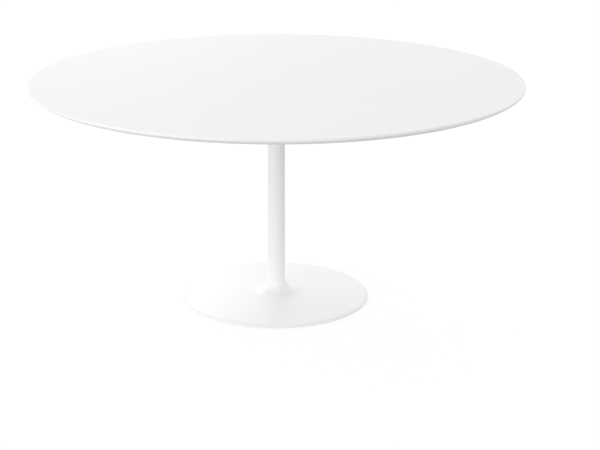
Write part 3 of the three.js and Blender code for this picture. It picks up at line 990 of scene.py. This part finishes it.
@dataclass
class DiscBase:
    """The spun cover, the cast ballast plate under it and the turned hub that joins them."""

    rim_radius: float = 8 * MM
    wall: float = 1.5 * MM
    hem: float = 0.4 * MM
    seat_radius: float = 78 * MM
    hole: float = 27 * MM
    neck: float = 40 * MM
    flange: float = 60 * MM
    flange_height: float = 5.5 * MM
    gap: float = 0.3 * MM
    pocket: float = 22 * MM
    pocket_top: float = 19.5 * MM
    rod_hole: float = 6.6 * MM
    stud_hole: float = 4.1 * MM
    screw_hole: float = 3.2 * MM
    screw_hole_top: float = 14.3 * MM
    sink_radius: float = 5.9 * MM
    sink_depth: float = 3 * MM
    hub_hole_depth: float = 7 * MM
    screw_head: float = 5.6 * MM
    shank: float = 2.9 * MM
    socket: float = 2.31 * MM
    socket_depth: float = 2 * MM
    land: float = 0.8 * MM
    cover_facets: int = 256
    ballast_facets: int = 192
    hub_facets: int = 128

    def cover(self) -> None:
        """Models the cover: a rolled rim, a shallow cone and a flat seat, all at one wall."""
        low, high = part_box("base_cover")
        radius, lift, seat = high[0], low[2], high[2]
        rim = radius - self.rim_radius
        outer = Column.arc(rim, lift, self.rim_radius, 0, 90, 20)
        inner = Column.arc(rim, lift, self.rim_radius - self.wall, 90, 0, 12)
        crown = rounded([
            Corner(*outer[-1]), Corner(self.seat_radius, seat, 40 * MM, 6),
            Corner(self.hole, seat, self.hem, 2), Corner(self.hole, seat - self.wall),
            Corner(self.seat_radius, seat - self.wall), Corner(*inner[0]),
        ], False)
        points = [*outer, *crown[1:], *inner[1:]]
        cover = spin_section("base_shell", points, self.cover_facets, True)
        dress(cover, POWDER_COAT, ["base_cover"])

    def ballast(self) -> None:
        """Models the ballast plate, with machined lands at the hub and at the feet."""
        low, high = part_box("ballast_plate")
        radius, bottom, top = high[0], low[2], high[2]
        rim_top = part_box("base_cover")[0][2] + self.rim_radius - self.wall - self.gap
        flange_top = bottom + self.flange_height
        plate = turned("ballast_casting", [
            Corner(self.neck + self.gap, flange_top), Corner(self.flange + self.gap, flange_top),
            Corner(self.flange + self.gap, bottom, 0.5 * MM, 3),
            Corner(self.flange + 14 * MM, bottom, 1.5 * MM, 4),
            Corner(self.flange + 16 * MM, bottom + self.land, 1.5 * MM, 4),
            Corner(radius - 48 * MM, bottom + self.land, 1.5 * MM, 4),
            Corner(radius - 46 * MM, bottom, 1.5 * MM, 4),
            Corner(radius, bottom, 1 * MM, 4), Corner(radius, rim_top - 1.5 * MM, 1 * MM, 4),
            Corner(radius - 4 * MM, rim_top, 1 * MM, 4), Corner(self.seat_radius, top - self.gap),
            Corner(self.seat_radius - 3 * MM, top), Corner(self.neck + self.gap, top),
        ], self.ballast_facets)
        drills = []
        for i in range(1, QUARTERS + 1):
            foot = centre_of(f"foot_stud_{i}")
            drills.append(prism("foot_drill", self.stud_hole, 0, top + MM, 32, (foot.x, foot.y)))
            screw = centre_of(f"hub_screw_{i}")
            drills.append(prism("screw_drill", self.screw_hole, bottom, self.screw_hole_top,
                                DRILL_FACETS, (screw.x, screw.y)))
        shape_with(plate, drills)
        dress(plate, PRIMED_IRON, ["ballast_plate"])

    def hub(self) -> None:
        """Models the hub, with its nut pocket, its boss and its countersunk screw holes."""
        low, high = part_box("base_hub")
        bottom, top = low[2], high[2]
        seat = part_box("ballast_plate")[1][2]
        boss = self.hole - self.gap
        hub = turned("turned_hub", [
            Corner(self.rod_hole, self.pocket_top, 0.4 * MM, 2),
            Corner(self.pocket, self.pocket_top, 1 * MM, 4),
            Corner(self.pocket, bottom, 0.6 * MM, 3), Corner(self.flange, bottom, 0.6 * MM, 3),
            Corner(self.flange, bottom + self.flange_height, 0.4 * MM, 2),
            Corner(self.neck, bottom + self.flange_height), Corner(self.neck, seat, 0.3 * MM, 2),
            Corner(boss, seat), Corner(boss, top, 1.2 * MM, 4),
            Corner(self.rod_hole, top, 0.4 * MM, 2),
        ], self.hub_facets)
        sinks = []
        for i in range(1, QUARTERS + 1):
            spot = centre_of(f"hub_screw_{i}")
            sink = turned("sink", [
                Corner(0, bottom - MM), Corner(self.sink_radius, bottom - MM),
                Corner(self.sink_radius, bottom + self.gap),
                Corner(self.screw_hole, bottom + self.sink_depth),
                Corner(self.screw_hole, bottom + self.hub_hole_depth),
                Corner(0, bottom + self.hub_hole_depth),
            ], THREAD_FACETS, False)
            sinks.append(copy_of(sink, "screw_sink", shift=(spot.x, spot.y, 0)))
            bpy.data.objects.remove(sink, do_unlink=True)
        shape_with(hub, sinks)
        dress(hub, TURNED_ZINC, ["base_hub"])

    def hub_screws(self) -> None:
        """Models the countersunk screws of the hub."""
        low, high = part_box("hub_screw_1")
        bottom, tip = low[2], high[2]
        head, shank = self.screw_head, self.shank
        screw = turned("hub_screw", [
            Corner(0, bottom), Corner(head, bottom, 0.2 * MM, 2),
            Corner(shank, bottom + head - shank),
            *thread(shank, 1 * MM, bottom + 3.4 * MM, tip - MM),
            Corner(shank - 0.6 * MM, tip), Corner(0, tip),
        ], THREAD_FACETS, False)
        shape_with(screw, [prism("socket", self.socket, bottom - MM, bottom + self.socket_depth,
                                 HEXAGON)])
        for i in range(1, QUARTERS + 1):
            spot = centre_of(f"hub_screw_{i}")
            piece = copy_of(screw, f"sunk_screw_{i}", shift=(spot.x, spot.y, 0))
            dress(piece, ZINC_PLATE, [f"hub_screw_{i}"])
        bpy.data.objects.remove(screw, do_unlink=True)

    def build(self) -> None:
        """Models the base's pieces."""
        self.cover()
        self.ballast()
        self.hub()
        self.hub_screws()


@dataclass
class LevellingFeet:
    """The four feet: a nylon pad that lifts without turning and a stud that turns in it."""

    seat_radius: float = 10.6 * MM
    seat_height: float = 1.6 * MM
    flange_corner: float = 9.8 * MM
    flange_height: float = 1.5 * MM
    shank: float = 3.7 * MM
    pitch: float = 1 * MM
    chamfer: float = 0.6 * MM
    root: float = 0.5 * MM
    pad_facets: int = 72

    def pad(self) -> bpy.types.Object:
        """Models one pad about the Z axis: a shallow cup with a soft rim."""
        low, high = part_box("foot_pad_1")
        radius = (high[0] - low[0]) / 2
        return turned("pad", [
            Corner(0, 0), Corner(radius - 2.2 * MM, 0, 0.3 * MM, 2),
            Corner(radius, 0.9 * MM, 0.6 * MM, 4), Corner(radius, high[2], 0.9 * MM, 6),
            Corner(self.seat_radius, high[2], 0.4 * MM, 3),
            Corner(self.seat_radius, self.seat_height, 0.3 * MM, 3), Corner(0, self.seat_height),
        ], self.pad_facets, False)

    def stud(self) -> bpy.types.Object:
        """Models one stud about the Z axis: a chamfered hexagon flange under a fine thread."""
        low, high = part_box("foot_stud_1")
        bottom, top = low[2], high[2]
        flange_top = bottom + self.flange_height
        flange = prism("stud", self.flange_corner, bottom, flange_top, HEXAGON)
        face = self.flange_corner * math.cos(math.pi / HEXAGON) - 0.1 * MM
        beyond = self.flange_corner + 0.5 * MM
        barrel = turned("barrel", [
            Corner(0, bottom), Corner(face, bottom), Corner(beyond, bottom + self.chamfer),
            Corner(beyond, flange_top - self.chamfer), Corner(face, flange_top),
            Corner(0, flange_top),
        ], closed=False)
        shape_with(flange, [barrel], Cut.COMMON)
        shank = turned("shank", [
            Corner(0, bottom + self.root), Corner(self.shank, bottom + self.root),
            *thread(self.shank, self.pitch, flange_top + 0.1 * MM, top - 0.3 * MM),
            Corner(self.shank - self.chamfer, top), Corner(0, top),
        ], THREAD_FACETS, False)
        shape_with(flange, [shank], Cut.ONTO)
        return flange

    def build(self) -> None:
        """Puts a pad and a stud in each place, each on its own body."""
        pad, stud = self.pad(), self.stud()
        for i in range(1, QUARTERS + 1):
            spot = centre_of(f"foot_pad_{i}")
            shift = (spot.x, spot.y, 0)
            dress(copy_of(pad, f"glide_pad_{i}", shift=shift), NYLON,
                  [f"foot_pad_{i}"], f"pad_{i}")
            dress(copy_of(stud, f"glide_stud_{i}", shift=shift), ZINC_PLATE,
                  [f"foot_stud_{i}"], f"stud_{i}")
        for used in (pad, stud):
            bpy.data.objects.remove(used, do_unlink=True)


# ---- Pieces whose shape the frame already has ---------------------------------------------------


@dataclass
class CarriedOver:
    """The frame's own nodes that stay, with better materials."""

    finishes: dict[str, Finish] = field(default_factory=lambda: {
        "centring_ring": FRAME_COAT,
        **{f"insert_{number}": BRASS for number in TOP_SCREWS},
    })

    def build(self) -> None:
        """Gives each of them its material."""
        for node, finish in self.finishes.items():
            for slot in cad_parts[node].material_slots:
                slot.material = material_of(finish)
            log.info("%s keeps its shape, with %s", node, finish.name)


# ---- Studio -------------------------------------------------------------------------------------


@dataclass(frozen=True)
class SoftBox:
    """A rectangular soft light."""

    name: str
    place: tuple[float, float, float]
    aim: tuple[float, float, float]
    size: tuple[float, float]
    watts: float


@dataclass
class Studio:
    """The floor, the lights and the camera."""

    floor_radius: float = 30.0
    floor_facets: int = 96
    floor_drop: float = 0.1 * MM
    floor_opening: float = 298 * MM
    floor_tone: str = "#CCCCCC"
    floor_lift: float = 0.7
    floor_white: float = 1.2
    horizon: float = 1.12
    zenith: float = 0.74
    back_glow: float = 0.28
    turn_low: float = 0.5
    turn_high: float = 0.75
    back_low: float = 0.2
    back_high: float = 0.9
    lens: float = 85.53
    sensor: float = 36.0
    reach: float = 200.0
    eye: tuple[float, float, float] = (0.0, -4.552, 1.712)
    tilt_down: float = math.radians(17.816)
    shift: float = 0.0394
    boxes: tuple[SoftBox, ...] = (
        SoftBox("key_front_left", (-2.9, -3.1, 0.8), (0, 0, 0.45), (2.8, 1.3), 36),
        SoftBox("sheen_back_left", (-1.9, 3.0, 1.45), (-0.2, 0, 0.2), (3.4, 1.7), 30),
    )

    def floor(self) -> None:
        """Makes the plain pale floor."""
        bpy.ops.object.select_all(action="DESELECT")
        bpy.ops.mesh.primitive_circle_add(vertices=self.floor_facets, radius=self.floor_radius,
                                          fill_type="NGON")
        floor = bpy.context.object
        floor.name = "floor"
        floor.location.z = -self.floor_drop
        # open under the base, out to near its rim, so that light reaches the underside
        bpy.ops.object.mode_set(mode="EDIT")
        bpy.ops.mesh.select_all(action="SELECT")
        bpy.ops.mesh.inset(thickness=self.floor_radius - self.floor_opening)
        bpy.ops.mesh.delete(type="FACE")
        bpy.ops.object.mode_set(mode="OBJECT")
        material = bpy.data.materials.new("pale_floor")
        material.use_nodes = True
        tree = material.node_tree
        tree.nodes.clear()
        # seen straight, the floor is lifted towards white as a cleaned-up studio sweep is, and
        # what it sends back up to the table is only what a pale floor would
        matt = add_node(tree, "ShaderNodeBsdfDiffuse", {"Color": linear(self.floor_tone)})
        white = add_node(tree, "ShaderNodeEmission", {"Strength": self.floor_white})
        seen = add_node(tree, "ShaderNodeMath",
                        {0: add_node(tree, "ShaderNodeLightPath").outputs["Is Camera Ray"],
                         1: self.floor_lift}, operation="MULTIPLY")
        mixed = add_node(tree, "ShaderNodeMixShader",
                         {"Fac": seen.outputs["Value"], 1: matt.outputs["BSDF"],
                          2: white.outputs["Emission"]})
        # from below, the floor is clear, so that the underside can be looked at
        clear = add_node(tree, "ShaderNodeBsdfTransparent")
        sided = add_node(tree, "ShaderNodeMixShader",
                         {"Fac": add_node(tree, "ShaderNodeNewGeometry").outputs["Backfacing"],
                          1: mixed.outputs["Shader"], 2: clear.outputs["BSDF"]})
        add_node(tree, "ShaderNodeOutputMaterial", {"Surface": sided.outputs["Shader"]})
        floor.data.materials.append(material)

    def lights(self) -> None:
        """Makes the sky, brighter near the horizon and at the back, and the soft boxes."""
        scene = bpy.context.scene
        world = bpy.data.worlds.new("studio")
        world.use_nodes = True
        tree = world.node_tree
        tree.nodes.clear()
        way = add_node(tree, "ShaderNodeTexCoord").outputs["Generated"]
        parts = add_node(tree, "ShaderNodeSeparateXYZ", {"Vector": way})
        back = add_node(tree, "ShaderNodeMapRange",
                        {"Value": parts.outputs["Y"], "From Min": self.back_low,
                         "From Max": self.back_high, "To Min": 0.0, "To Max": self.back_glow},
                        interpolation_type="SMOOTHSTEP")
        glow = add_node(tree, "ShaderNodeMapRange",
                        {"Value": parts.outputs["Z"], "From Min": self.turn_low,
                         "From Max": self.turn_high, "To Min": self.horizon,
                         "To Max": self.zenith},
                        interpolation_type="SMOOTHSTEP")
        both = add_node(tree, "ShaderNodeMath",
                        {0: glow.outputs["Result"], 1: back.outputs["Result"]}, operation="ADD")
        sky = add_node(tree, "ShaderNodeBackground",
                       {"Color": linear("#FFFFFF"), "Strength": both.outputs["Value"]})
        add_node(tree, "ShaderNodeOutputWorld", {"Surface": sky.outputs["Background"]})
        scene.world = world
        scene.view_settings.view_transform = "Standard"
        for box in self.boxes:
            light = bpy.data.lights.new(box.name, "AREA")
            light.shape = "RECTANGLE"
            light.size, light.size_y = box.size
            light.energy = box.watts
            lamp = bpy.data.objects.new(box.name, light)
            scene.collection.objects.link(lamp)
            lamp.location = box.place
            lamp.visible_camera = False
            aim = Vector(box.aim) - Vector(box.place)
            lamp.rotation_euler = aim.to_track_quat("-Z", "Y").to_euler()

    def camera(self) -> None:
        """Makes the camera: in front of the table and above its top, tilted down."""
        data = bpy.data.cameras.new("camera")
        data.sensor_width = self.sensor
        data.lens = self.lens
        data.shift_x = self.shift
        data.clip_end = self.reach
        camera = bpy.data.objects.new("camera", data)
        bpy.context.scene.collection.objects.link(camera)
        camera.location = self.eye
        camera.rotation_euler = (math.radians(90) - self.tilt_down, 0, 0)
        bpy.context.scene.camera = camera

    def build(self) -> None:
        """Sets up the studio."""
        self.camera()
        self.floor()
        self.lights()


def main() -> None:
    """Builds the studio and every piece of the table, in order."""
    logging.basicConfig(level=logging.INFO, format="%(name)s %(message)s")
    parts = (Studio(), Tabletop(), Spider(), TopScrews(), Column(), TieRod(), DiscBase(),
             LevellingFeet(), CarriedOver())
    for part in parts:
        log.info("building %s", type(part).__name__)
        part.build()


if __name__ == "__main__":
    main()
